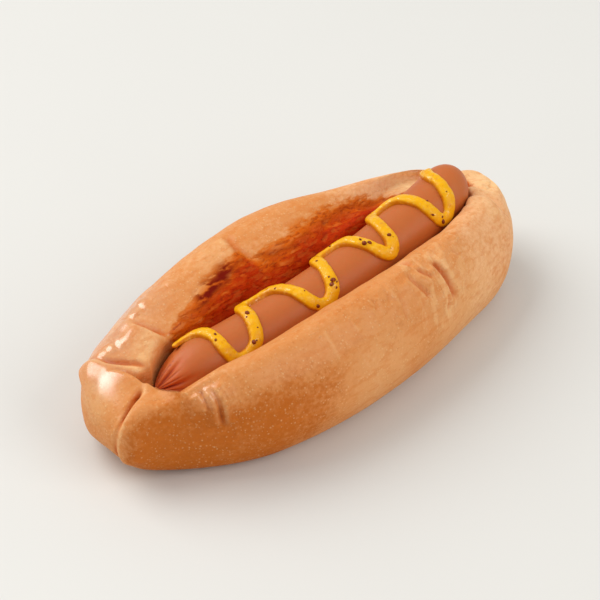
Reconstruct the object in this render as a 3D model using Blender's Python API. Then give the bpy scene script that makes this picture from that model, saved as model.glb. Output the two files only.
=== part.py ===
"""A hot dog: a soft roll baked round a sausage, with a thick zigzag of mustard along the top.

Metres, +Z up, resting on Z = 0.  X runs along the roll, -Y is its front and +Y its rear.
The roll is one closed solid.  The sausage lies in its slot, clear of it all round, and the
mustard is fused to the sausage.
"""

import math

import bmesh
import bpy
import numpy as np
from mathutils import Vector, noise

MM = 0.001

# The roll, in millimetres.  Each row of seven runs from the left nose to the right nose.
ROLL_HALF_LENGTH = 90.6
ROLL_MIDDLE_X = -1.1
FRONT_WIDTH = (57.0, 44.3, 43.8, 41.0, 37.5, 40.0, 41.0)
REAR_WIDTH = (46.0, 36.0, 39.8, 41.8, 38.5, 34.5, 43.0)
FRONT_TOP = (36.0, 31.8, 39.6, 41.5, 40.5, 33.0, 29.0)
REAR_TOP = (36.0, 34.0, 36.5, 40.2, 34.8, 30.6, 29.0)
MIDDLE_LINE = (-4.0, 3.2, 0.0, 0.0, 1.0, 3.8, 9.5)
WIDTH_ROUNDING = 0.91
LEFT_NOSE_HEIGHT, RIGHT_NOSE_HEIGHT = 16.0, 27.0
BASE_ROUNDING, TOP_ROUNDING = 8.5, 10.0
DOME = 0.22

# The slot in the roll.
SLOT_GAP = 0.75
SLOT_LEFT, SLOT_LEFT_SLOPE, SLOT_LEFT_VALLEY = -70.0, 3.0, 10.0
SLOT_RIGHT, SLOT_RIGHT_SLOPE = 75.0, 5.0
SLOT_LEAST_RADIUS = 2.8
LIP_LEAN = 4.6
LIP_HELD_FROM, LIP_HELD_SPAN, LIP_HELD_GAP = 44.0, 22.0, 1.3
LIP_DROP, LIP_DROP_FROM, LIP_DROP_SPAN = 0.10, -66.0, 26.0
WALL_NARROW, WALL_WIDE = 1.5, 9.0

# Creases of the roll: points (x, y, z) along each, its depth and half-width, then how much
# the skin on its right hand and on its left hand rises, and how far that carries.
CREASES = (
    (((-84.5, 19.5, 24.0), (-80.6, 16.2, 29.4), (-78.2, 11.2, 30.8), (-74.8, 7.6, 30.8),
      (-70.3, 3.9, 29.6), (-67.9, 1.6, 27.0)), 1.7, 2.1, 1.3, -0.7, 5.0),
    (((-88.5, -10.0, 5.0), (-90.6, -8.8, 12.5), (-89.4, -9.6, 21.6), (-87.2, -9.4, 25.8),
      (-82.8, -8.1, 28.6), (-78.4, -6.6, 29.4), (-73.5, -4.6, 29.0), (-70.0, -3.2, 27.0)),
     1.6, 2.2, 1.4, -0.4, 6.0),
    (((-62.6, 18.5, 35.6), (-58.9, 12.3, 34.0), (-55.3, 8.6, 30.1)), 1.2, 2.0, 0.8, -0.3, 4.5),
    (((-14.3, 29.2, 38.9), (-14.8, 22.2, 37.7), (-12.8, 16.5, 34.8)), 1.6, 2.2, 0.7, 0.0, 5.0),
    (((66.8, -2.0, 32.4), (69.6, -4.2, 33.0), (72.3, -6.6, 33.0), (75.2, -9.4, 31.8),
      (77.0, -12.6, 29.6), (79.6, -16.0, 25.0)), 1.5, 2.0, 1.4, -0.8, 5.0),
    (((79.0, 7.0, 28.8), (82.7, 2.1, 29.0), (85.5, -2.5, 28.0)), 1.0, 1.8, 0.3, 0.0, 4.0),
    (((-68.0, -1.0, 28.0), (-73.8, -9.5, 32.0), (-77.5, -16.0, 30.5)), 2.4, 4.5, 0.0, 0.0, 5.0),
)  # fmt: skip
UNEVEN, UNEVEN_SPAN = 0.8, 30.0
TORN, TORN_SPAN = 1.1, 8.0
TORN_FROM, TORN_TO = 16.6, 18.2  # places round the section, as roll_section counts them

# The sausage.
SAUSAGE_LEFT, SAUSAGE_RIGHT = -68.8, 73.6
SAUSAGE_RADIUS = 10.1
SAUSAGE_LEFT_TAPER, SAUSAGE_RIGHT_TAPER = 19.0, 11.5
PUCKERS, PUCKER_PART, PUCKER_REACH = 7, 0.09, 7.0

# The mustard: a bead that winds over the sausage.  Each turn is (x, degrees round the
# sausage), with 0 at the rear, 90 at the top and 180 at the front.
BEAD_HALF_WIDTH, BEAD_HALF_HEIGHT, BEAD_SINK = 2.35, 1.75, 0.35
BEAD_TURNS = (
    (60.8, 50), (58.2, 72), (57.8, 105), (57.0, 140), (54.8, 163), (51.6, 163), (48.4, 138),
    (45.2, 92), (41.6, 50), (36.5, 36), (31.6, 48), (28.7, 90), (27.9, 128), (25.4, 143),
    (22.0, 128), (18.4, 90), (15.0, 50), (9.4, 38), (4.0, 50), (1.0, 98), (-1.4, 134),
    (-5.2, 148), (-10.2, 132), (-13.8, 88), (-17.4, 50), (-23.6, 40), (-29.2, 50),
    (-31.8, 96), (-34.4, 134), (-38.6, 152), (-43.4, 152), (-46.0, 126), (-46.3, 84),
    (-48.2, 54), (-53.0, 46), (-57.5, 58),
)  # fmt: skip

ROLL_RINGS, ROLL_SEGMENTS = 72, 48
SAUSAGE_RINGS, SAUSAGE_SEGMENTS = 44, 24
BEAD_RINGS, BEAD_SEGMENTS = 112, 8


def smooth(t):
    t = np.clip(t, 0.0, 1.0)
    return t * t * (3.0 - 2.0 * t)


def through(values, index):
    """The smooth curve through values at 0, 1, 2 and so on, read at index."""
    values = np.asarray(values, float)
    last = len(values) - 1
    i = np.clip(np.floor(index).astype(int), 0, last - 1)
    t = index - i
    before, a = values[np.clip(i - 1, 0, last)], values[i]
    b, after = values[i + 1], values[np.clip(i + 2, 0, last)]
    return 0.5 * (
        2 * a + (b - before) * t + (2 * before - 5 * a + 4 * b - after) * t**2
        + (3 * a - before - 3 * b + after) * t**3
    )  # fmt: skip


def sausage_axis(x):
    """(y, z) of the sausage's curved middle line."""
    u = (x - 0.5) / 69.0
    y = -3.0 + 3.5 * u + 5.2 * u * u
    return y, 25.5 + 6.3 * u + np.where(u > 0, 2.4, 2.1) * u * u


def sausage_radius(x):
    """The sausage's radius: a drawn-in left end and a rounded right end."""
    left = np.clip((x - SAUSAGE_LEFT) / SAUSAGE_LEFT_TAPER, 0.0, 1.0)
    right = np.clip((SAUSAGE_RIGHT - x) / SAUSAGE_RIGHT_TAPER, 0.0, 1.0)
    radius = SAUSAGE_RADIUS * np.sin(0.5 * math.pi * left) ** 0.72
    return radius * np.sqrt(np.maximum(1.0 - (1.0 - right) ** 2, 0.0))


def roll_section(latitude):
    """Points (y, z) round the roll at each latitude, from the middle of the base to the front."""
    u = np.sin(latitude)
    x = ROLL_MIDDLE_X + ROLL_HALF_LENGTH * u
    station = (latitude / math.pi + 0.5) * 6.0
    reach = np.maximum(np.cos(latitude), 0.0) ** WIDTH_ROUNDING
    front = through(FRONT_WIDTH, station) * reach
    rear = through(REAR_WIDTH, station) * reach
    nose = np.where(u < 0, LEFT_NOSE_HEIGHT, RIGHT_NOSE_HEIGHT)
    bottom = nose * (1.0 - np.sqrt(np.maximum(1.0 - np.abs(u) ** BASE_ROUNDING, 0.0)))
    full_height = np.sqrt(np.maximum(1.0 - np.abs(u) ** TOP_ROUNDING, 0.0))
    front_top = nose + (through(FRONT_TOP, station) - nose) * full_height
    rear_top = nose + (through(REAR_TOP, station) - nose) * full_height
    middle = through(MIDDLE_LINE, station)

    def ahead(part):
        return bottom + (front_top - bottom) * part

    def behind(part):
        return bottom + (rear_top - bottom) * part

    y_axis, z_axis = sausage_axis(x)
    y_axis = y_axis - middle
    seat = np.maximum(sausage_radius(x) + SLOT_GAP, SLOT_LEAST_RADIUS)
    full = SAUSAGE_RADIUS + SLOT_GAP
    part = seat / full
    lean = LIP_LEAN - 1.6 * u + 2.2 * smooth((-45.0 - x) / 25.0)
    wall = WALL_NARROW + (WALL_WIDE - WALL_NARROW) * smooth((x + 62.0) / 40.0)

    def opening(across):
        ramp = SLOT_LEFT_SLOPE + SLOT_LEFT_VALLEY * across
        left = smooth((x - SLOT_LEFT) / ramp + 1.0)
        return left * smooth((SLOT_RIGHT - x) / SLOT_RIGHT_SLOPE + 1.0)

    held = smooth((x - LIP_HELD_FROM) / LIP_HELD_SPAN)
    lip = y_axis - (1.0 - held) * (0.75 * full + 0.25 * seat + lean) - held * (seat + LIP_HELD_GAP)
    shut_lip = np.where(u < 0, -0.5, -0.3) * front
    lip = opening(0.0) * lip + (1.0 - opening(0.0)) * shut_lip
    border = opening(1.0) * (y_axis + seat + wall) + (1.0 - opening(1.0)) * 0.3 * rear
    ledge = np.minimum(ahead(0.90), behind(0.90))

    points = [(0.0 * u, bottom), (-0.62 * front, bottom), (-0.80 * front, ahead(0.03))]
    points += [(-0.935 * front, ahead(0.155)), (-front, ahead(0.40)), (-0.95 * front, ahead(0.66))]
    points += [(0.30 * lip - 0.70 * front, ahead(0.86)), (0.64 * lip - 0.36 * front, ahead(0.985))]
    drop = LIP_DROP * smooth((x - LIP_DROP_FROM) / LIP_DROP_SPAN) * (1.0 - 0.8 * held)
    points += [(lip, ahead(0.98 - drop))]
    inner = [(y_axis - seat - (0.42 - 0.3 * held) * lean, z_axis + 4.5 * part)]
    for degrees in (180, 210, 240, 270, 300, 330, 358):
        angle = math.radians(degrees)
        inner += [(y_axis + seat * math.cos(angle), z_axis + seat * math.sin(angle))]
    inner += [(y_axis + seat + 0.3 * wall, z_axis + 4.0 * part)]
    for i, (y, z) in enumerate(inner):
        across = (i + 1.0) / (len(inner) + 1.0)
        shut_y = lip + (border - lip) * across
        shut_z = ahead(0.975) * (1.0 - across) + behind(0.975) * across
        shut_z = shut_z + DOME * (border - lip) * across * (1.0 - across)
        open_slot = opening(across)
        points += [(
            open_slot * y + (1.0 - open_slot) * shut_y,
            open_slot * np.minimum(z, ledge) + (1.0 - open_slot) * shut_z,
        )]  # fmt: skip
    points += [(border, behind(0.98 - 0.10 * opening(1.0))), (0.52 * border + 0.48 * rear, behind(0.99))]
    points += [(0.16 * border + 0.84 * rear, behind(0.87)), (0.95 * rear, behind(0.66))]
    points += [(rear, behind(0.40)), (0.935 * rear, behind(0.155)), (0.80 * rear, behind(0.03))]
    points += [(0.62 * rear, bottom)]
    curve = np.array([(y + middle, z) for y, z in points])
    return x, np.moveaxis(curve, -1, 0)


def roll_points(latitude, turn):
    """Points on the roll's skin, and the place of each round the section.

    latitude runs from end to end, turn from 0 to 1 round the roll.
    """
    x, curve = roll_section(latitude)
    count = curve.shape[1]
    weight = np.ones(count)
    weight[[0, -1]] = 0.5
    marks = np.concatenate([[0.0], np.cumsum(weight)]) / weight.sum()
    index = np.interp(turn % 1.0, marks, np.arange(count + 1.0))
    i = np.floor(index).astype(int) % count
    t = (index - np.floor(index))[:, None]
    row = np.arange(len(latitude))
    before, a = curve[row, i - 1], curve[row, i]
    b, after = curve[row, (i + 1) % count], curve[row, (i + 2) % count]
    skin = 0.5 * (
        2 * a + (b - before) * t + (2 * before - 5 * a + 4 * b - after) * t**2
        + (3 * a - before - 3 * b + after) * t**3
    )  # fmt: skip
    skin[:, 1] = np.maximum(skin[:, 1], 0.0)
    return np.column_stack([x, skin]), index


def crease_relief(points, normals):
    """How far the creases push the skin out, in millimetres."""
    relief = np.zeros(len(points))
    for path, depth, width, right, left, carry in CREASES:
        index = np.linspace(0.0, len(path) - 1.0, 12 * len(path))
        line = np.column_stack([through(column, index) for column in np.transpose(path)])
        run = np.concatenate([[0.0], np.cumsum(np.linalg.norm(np.diff(line, axis=0), axis=1))])
        way = np.gradient(line, run, axis=0)
        apart = points[:, None, :] - line[None, :, :]
        square = np.einsum("ijk,ijk->ij", apart, apart)
        gap = np.sqrt(square.min(1))
        weight = np.exp((gap[:, None] ** 2 - square) / (2.0 * (0.35 * carry) ** 2))
        weight /= weight.sum(1)[:, None]
        side = np.einsum("ij,ij->i", np.cross(weight @ way, normals), points - weight @ line)
        rise = left + (right - left) * smooth(0.5 + side / (0.5 * carry))
        along = weight @ run / run[-1]
        ends = smooth(along / 0.12 - 0.2) * smooth((1.0 - along) / 0.12 - 0.2)
        swell = (gap / carry) * np.exp(1.0 - gap / carry) * np.exp(-((gap / (3.0 * carry)) ** 4))
        relief += ends * (rise * swell - depth * np.exp(-((gap / width) ** 2)))
    return relief


def noise_at(points, span, seed):
    return np.array([noise.noise(Vector(p) / span + Vector((seed, 0.0, 0.0))) for p in points])


def roll_relief(points, normals, index):
    """The roll's creases, its uneven skin and its torn inner wall, in millimetres."""
    shut = smooth((-68.0 - points[:, 0]) / 3.0) + smooth((points[:, 0] - 76.0) / 3.0)
    outside = 1.0 - smooth((index - 8.2) / 0.8) * smooth((18.4 - index) / 0.8) * (1.0 - shut)
    lifted = smooth((points[:, 2] - 1.0) / 7.0)
    poles = ROLL_HALF_LENGTH - np.abs(points[:, 0] - ROLL_MIDDLE_X)
    relief = crease_relief(points, normals) * outside * (0.25 + 0.75 * smooth(poles / 4.0))
    relief += UNEVEN * outside * noise_at(points, UNEVEN_SPAN, 3.0)
    torn = smooth((index - TORN_FROM) / 0.4) * smooth((TORN_TO - index) / 0.5)
    torn = torn * smooth((points[:, 0] + 58.0) / 12.0) * smooth((62.0 - points[:, 0]) / 12.0)
    relief += TORN * torn * noise_at(points, TORN_SPAN, 11.0)
    return relief * lifted


def sphere_coordinates(mesh):
    """(latitude, turn) of each vertex of a unit sphere with its poles on Z."""
    unit = np.array([v.co for v in mesh.verts])
    latitude = np.arcsin(np.clip(unit[:, 2], -1.0, 1.0))
    latitude = latitude - 0.12 * np.sin(2.0 * latitude)
    turn = np.arctan2(unit[:, 1], unit[:, 0]) / (2.0 * math.pi)
    return latitude, turn % 1.0


def place(mesh, points):
    for vertex, point in zip(mesh.verts, points):
        vertex.co = Vector(point) * MM
    if mesh.calc_volume(signed=True) < 0.0:
        bmesh.ops.reverse_faces(mesh, faces=mesh.faces)
    mesh.normal_update()


def sausage_points(along, turn):
    """Points on the sausage: along from -1 to 1, turn from 0 to 1 round it."""
    x = 0.5 * (SAUSAGE_LEFT + SAUSAGE_RIGHT) + 0.5 * (SAUSAGE_RIGHT - SAUSAGE_LEFT) * along
    angle = 2.0 * math.pi * turn
    pucker = PUCKER_PART * np.exp(-(((x - SAUSAGE_LEFT) / PUCKER_REACH) ** 2))
    radius = sausage_radius(x) * (1.0 - pucker * (1.0 + np.cos(PUCKERS * angle)))
    y, z = sausage_axis(x)
    return np.column_stack([x, y + radius * np.cos(angle), z + radius * np.sin(angle)])


def bead_path(count):
    """Places and outward directions along the middle of the mustard bead."""
    turns = np.array(BEAD_TURNS, float)
    index = np.linspace(0.0, len(turns) - 1.0, 1200)
    x = through(turns[:, 0], index)
    angle = np.radians(through(turns[:, 1], index))
    y, z = sausage_axis(x)
    out = np.column_stack([0.0 * x, np.cos(angle), np.sin(angle)])
    squeeze = smooth((np.degrees(angle) - 125.0) / 45.0)
    radius = SAUSAGE_RADIUS + BEAD_SINK - 0.7 * squeeze
    place_ = np.column_stack([x, y, z]) + out * radius[:, None]
    run = np.concatenate([[0.0], np.cumsum(np.linalg.norm(np.diff(place_, axis=0), axis=1))])
    even = np.linspace(0.0, run[-1], count)
    pick = [np.interp(even, run, column) for column in np.hstack([place_, out]).T]
    pick = np.array(pick).T
    return pick[:, :3], pick[:, 3:] / np.linalg.norm(pick[:, 3:], axis=1)[:, None]


def bead_points(ring, turn, count):
    """Points on the bead: ring from 0 to count, turn from 0 to 1 round it."""
    middle, out = bead_path(count + 1)
    forward = np.gradient(middle, axis=0)
    forward /= np.linalg.norm(forward, axis=1)[:, None]
    side = np.cross(forward, out)
    side /= np.linalg.norm(side, axis=1)[:, None]
    far = np.linspace(0.0, 1.0, count + 1) * count * 0.55
    near = np.minimum(far, far[::-1])
    size = np.sqrt(np.clip(1.0 - (1.0 - np.clip(near, 0.0, 1.0)) ** 2, 0.0, 1.0))
    angle = 2.0 * math.pi * turn
    width = BEAD_HALF_WIDTH * size[ring] * np.cos(angle)
    height = BEAD_HALF_HEIGHT * size[ring] * np.sin(angle)
    return middle[ring] + side[ring] * width[:, None] + out[ring] * height[:, None]


def new_object(name, mesh, collection, colour, roughness):
    data = bpy.data.meshes.new(name)
    mesh.to_mesh(data)
    mesh.free()
    data.shade_smooth()
    data.set_sharp_from_angle(angle=math.radians(55.0))
    thing = bpy.data.objects.new(name, data)
    collection.objects.link(thing)
    material = bpy.data.materials.new(name)
    material.use_nodes = True
    shader = material.node_tree.nodes["Principled BSDF"]
    shader.inputs["Base Color"].default_value = (*colour, 1.0)
    shader.inputs["Roughness"].default_value = roughness
    shader.inputs["Metallic"].default_value = 0.0
    data.materials.append(material)
    return thing


def make_roll(collection):
    mesh = bmesh.new()
    bmesh.ops.create_uvsphere(mesh, u_segments=ROLL_SEGMENTS, v_segments=ROLL_RINGS, radius=1.0)
    latitude, turn = sphere_coordinates(mesh)
    points, index = roll_points(latitude, turn)
    place(mesh, points)
    normals = np.array([v.normal for v in mesh.verts])
    place(mesh, points + normals * roll_relief(points, normals, index)[:, None])
    return new_object("bun", mesh, collection, (0.62, 0.30, 0.11), 0.45)


def make_sausage(collection):
    mesh = bmesh.new()
    bmesh.ops.create_uvsphere(
        mesh, u_segments=SAUSAGE_SEGMENTS, v_segments=SAUSAGE_RINGS, radius=1.0
    )
    latitude, turn = sphere_coordinates(mesh)
    place(mesh, sausage_points(np.sin(latitude), turn))
    return new_object("sausage", mesh, collection, (0.52, 0.22, 0.11), 0.45)


def make_bead(collection):
    mesh = bmesh.new()
    bmesh.ops.create_uvsphere(mesh, u_segments=BEAD_SEGMENTS, v_segments=BEAD_RINGS, radius=1.0)
    unit = np.array([v.co for v in mesh.verts])
    latitude = np.arcsin(np.clip(unit[:, 2], -1.0, 1.0))
    ring = np.rint((latitude / math.pi + 0.5) * BEAD_RINGS).astype(int)
    turn = np.arctan2(unit[:, 1], unit[:, 0]) / (2.0 * math.pi)
    place(mesh, bead_points(ring, turn, BEAD_RINGS))
    return new_object("mustard", mesh, collection, (0.80, 0.55, 0.03), 0.35)


def fuse(thing, collection):
    """Joins every object of the collection to thing, and removes them."""
    union = thing.modifiers.new("Fused toppings", "BOOLEAN")
    union.operation = "UNION"
    union.operand_type = "COLLECTION"
    union.collection = collection
    union.solver = "EXACT"
    graph = bpy.context.evaluated_depsgraph_get()
    joined = bpy.data.meshes.new_from_object(thing.evaluated_get(graph))
    thing.modifiers.remove(union)
    old = thing.data
    thing.data = joined
    bpy.data.meshes.remove(old)
    joined.name = thing.name
    for part in list(collection.objects):
        bpy.data.objects.remove(part, do_unlink=True)
    bpy.data.collections.remove(collection)
    mesh = bmesh.new()
    mesh.from_mesh(joined)
    bmesh.ops.remove_doubles(mesh, verts=mesh.verts, dist=0.00005)
    bmesh.ops.triangulate(mesh, faces=mesh.faces)
    mesh.to_mesh(joined)
    mesh.free()
    joined.shade_smooth()
    joined.set_sharp_from_angle(angle=math.radians(55.0))


def main():
    for thing in list(bpy.data.objects):
        bpy.data.objects.remove(thing, do_unlink=True)
    hot_dog = bpy.data.collections.new("hot dog")
    toppings = bpy.data.collections.new("toppings")
    for collection in (hot_dog, toppings):
        bpy.context.scene.collection.children.link(collection)
    toppings.hide_render = True
    make_roll(hot_dog)
    sausage = make_sausage(hot_dog)
    bead = make_bead(toppings)
    bead.display_type = "WIRE"
    bpy.context.view_layer.update()
    fuse(sausage, toppings)


main()
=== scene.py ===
"""A hot dog: the finish of the soft roll, the sausage in it, and the mustard wound over the sausage.

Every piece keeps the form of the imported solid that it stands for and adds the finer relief.
Lengths are in millimetres unless a name says otherwise; the meshes are made in metres.
X runs along the roll, -Y is its front, +Y its rear and +Z is up from the table.
"""

import math

import bmesh
import bpy
import numpy as np
from bpy.props import FloatProperty, FloatVectorProperty, IntProperty, PointerProperty
from bpy.types import Operator, Panel, PropertyGroup
from mathutils import Matrix, Vector, noise


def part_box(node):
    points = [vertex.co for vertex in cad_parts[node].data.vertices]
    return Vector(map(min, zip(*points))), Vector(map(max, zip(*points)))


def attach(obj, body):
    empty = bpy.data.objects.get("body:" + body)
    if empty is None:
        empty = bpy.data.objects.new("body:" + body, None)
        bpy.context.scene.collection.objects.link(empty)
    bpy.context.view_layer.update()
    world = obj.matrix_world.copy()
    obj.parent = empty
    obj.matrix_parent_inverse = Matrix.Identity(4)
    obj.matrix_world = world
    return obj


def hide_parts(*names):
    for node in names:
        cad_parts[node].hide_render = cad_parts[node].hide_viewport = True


bl_info = {
    "name": "Hot dog",
    "version": (1, 0, 0),
    "blender": (4, 5, 0),
    "location": "3D View > Sidebar > Hot dog",
    "description": "Makes a hot dog with its crust, its sausage and its mustard",
    "category": "Object",
}

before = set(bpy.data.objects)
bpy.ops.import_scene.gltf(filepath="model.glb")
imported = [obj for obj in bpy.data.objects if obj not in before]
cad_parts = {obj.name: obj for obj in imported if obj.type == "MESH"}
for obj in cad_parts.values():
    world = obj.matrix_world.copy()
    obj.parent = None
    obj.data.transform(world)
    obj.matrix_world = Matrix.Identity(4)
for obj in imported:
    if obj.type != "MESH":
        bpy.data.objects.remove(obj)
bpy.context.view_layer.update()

MM = 0.001
RING_SPREAD = 0.12  # how far a piece's rings move away from its ends
BUN_LOW, BUN_HIGH = (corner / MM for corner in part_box("bun"))
SAUSAGE_LOW, SAUSAGE_HIGH = (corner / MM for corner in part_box("sausage"))

# The roll.  Each row of seven runs from the left nose to the right nose.
ROLL_HALF_LENGTH = 0.5 * (BUN_HIGH.x - BUN_LOW.x)
ROLL_MIDDLE_X = 0.5 * (BUN_HIGH.x + BUN_LOW.x)
FRONT_WIDTH = (57.0, 44.3, 43.8, 41.0, 37.5, 40.0, 41.0)
REAR_WIDTH = (46.0, 36.0, 39.8, 41.8, 38.5, 34.5, 43.0)
FRONT_TOP = (36.0, 31.8, 39.6, 41.5, 40.5, 33.0, 29.0)
REAR_TOP = (36.0, 34.0, 36.5, 40.2, 34.8, 30.6, 29.0)
MIDDLE_LINE = (-4.0, 3.2, 0.0, 0.0, 1.0, 3.8, 9.5)
WIDTH_ROUNDING = 0.91
LEFT_NOSE_HEIGHT, RIGHT_NOSE_HEIGHT = 16.0, 27.0
BASE_ROUNDING, TOP_ROUNDING = 8.5, 10.0
DOME = 0.22
# Points up each flank: parts of the half-width and of the height.
FLANK = ((0.62, 0.0), (0.8, 0.03), (0.935, 0.155), (1.0, 0.4), (0.95, 0.66))

# The slot in the roll.
SLOT_GAP = 0.75
SLOT_LEFT, SLOT_LEFT_SLOPE, SLOT_LEFT_VALLEY = -70.0, 3.0, 10.0
SLOT_RIGHT, SLOT_RIGHT_SLOPE = 75.0, 5.0
SLOT_LEAST_RADIUS = 2.8
LIP_LEAN, LIP_LEAN_ALONG, LIP_LEAN_LEFT = 4.6, -1.6, 2.2
LIP_HELD_FROM, LIP_HELD_SPAN, LIP_HELD_GAP = 44.0, 22.0, 1.3
LIP_DROP, LIP_DROP_FROM, LIP_DROP_SPAN = 0.1, -66.0, 26.0
WALL_NARROW, WALL_WIDE = 1.5, 9.0

# Share of the roll's segments that each place round the section gets, from the middle of the
# base to the front, over the slot and down the rear.
PLACE_SHARE = (
    0.4, 0.7, 1.1, 1.3, 1.6, 1.7, 1.7, 1.6, 1.0, 0.4, 0.3, 0.3, 0.3,
    0.3, 0.3, 0.5, 1.0, 1.3, 1.3, 1.4, 1.4, 1.2, 1.0, 0.8, 0.6, 0.4,
)  # fmt: skip

# Places round the section, as roll_section counts them: where the slot's skin begins and ends, how
# gradually, and where the rear inner wall begins.
SLOT_FROM, SLOT_TO, SLOT_BLEND = 8.2, 18.4, 0.8
WALL_FROM = 13.0

# Creases: points (x, y, z) along each, its depth and half-width, then how much the skin on its
# right hand and on its left hand rises, and how far that carries.
CREASES = (
    (((-84.5, 19.5, 24), (-80.6, 16.2, 29.4), (-78.2, 11.2, 30.8), (-74.8, 7.6, 30.8),
      (-70.3, 3.9, 29.6), (-67.9, 1.6, 27)), 2.1, 1.05, 1.6, -0.5, 4.2),
    (((-88.5, -10, 5), (-90.6, -8.8, 12.5), (-89.4, -9.6, 21.6), (-87.2, -9.4, 25.8),
      (-82.8, -8.1, 28.6), (-78.4, -6.6, 29.4), (-73.5, -4.6, 29), (-70, -3.2, 27)),
     2.2, 0.85, 1.5, -0.2, 3.8),
    (((-62.6, 18.5, 35.6), (-58.9, 12.3, 34), (-55.3, 8.6, 30.1)), 1.5, 1.1, 1, -0.2, 4),
    (((-14.3, 29.2, 38.9), (-14.8, 22.2, 37.7), (-12.8, 16.5, 34.8)), 1.1, 1.9, 1, 0, 5),
    (((66.8, -2, 32.4), (69.6, -4.2, 33), (72.3, -6.6, 33), (75.2, -9.4, 31.8),
      (77, -12.6, 29.6), (79.6, -16, 25)), 1.8, 1, 1.5, -0.5, 4.2),
    (((79, 7, 28.8), (82.7, 2.1, 29), (85.5, -2.5, 28)), 1, 1.2, 0.3, 0, 4),
)  # fmt: skip
SADDLE = (
    (((-68, -1, 28), (-73.8, -9.5, 32), (-77.5, -16, 30.5)), 2.4, 4.5, 0, 0, 5),
)  # fmt: skip

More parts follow.
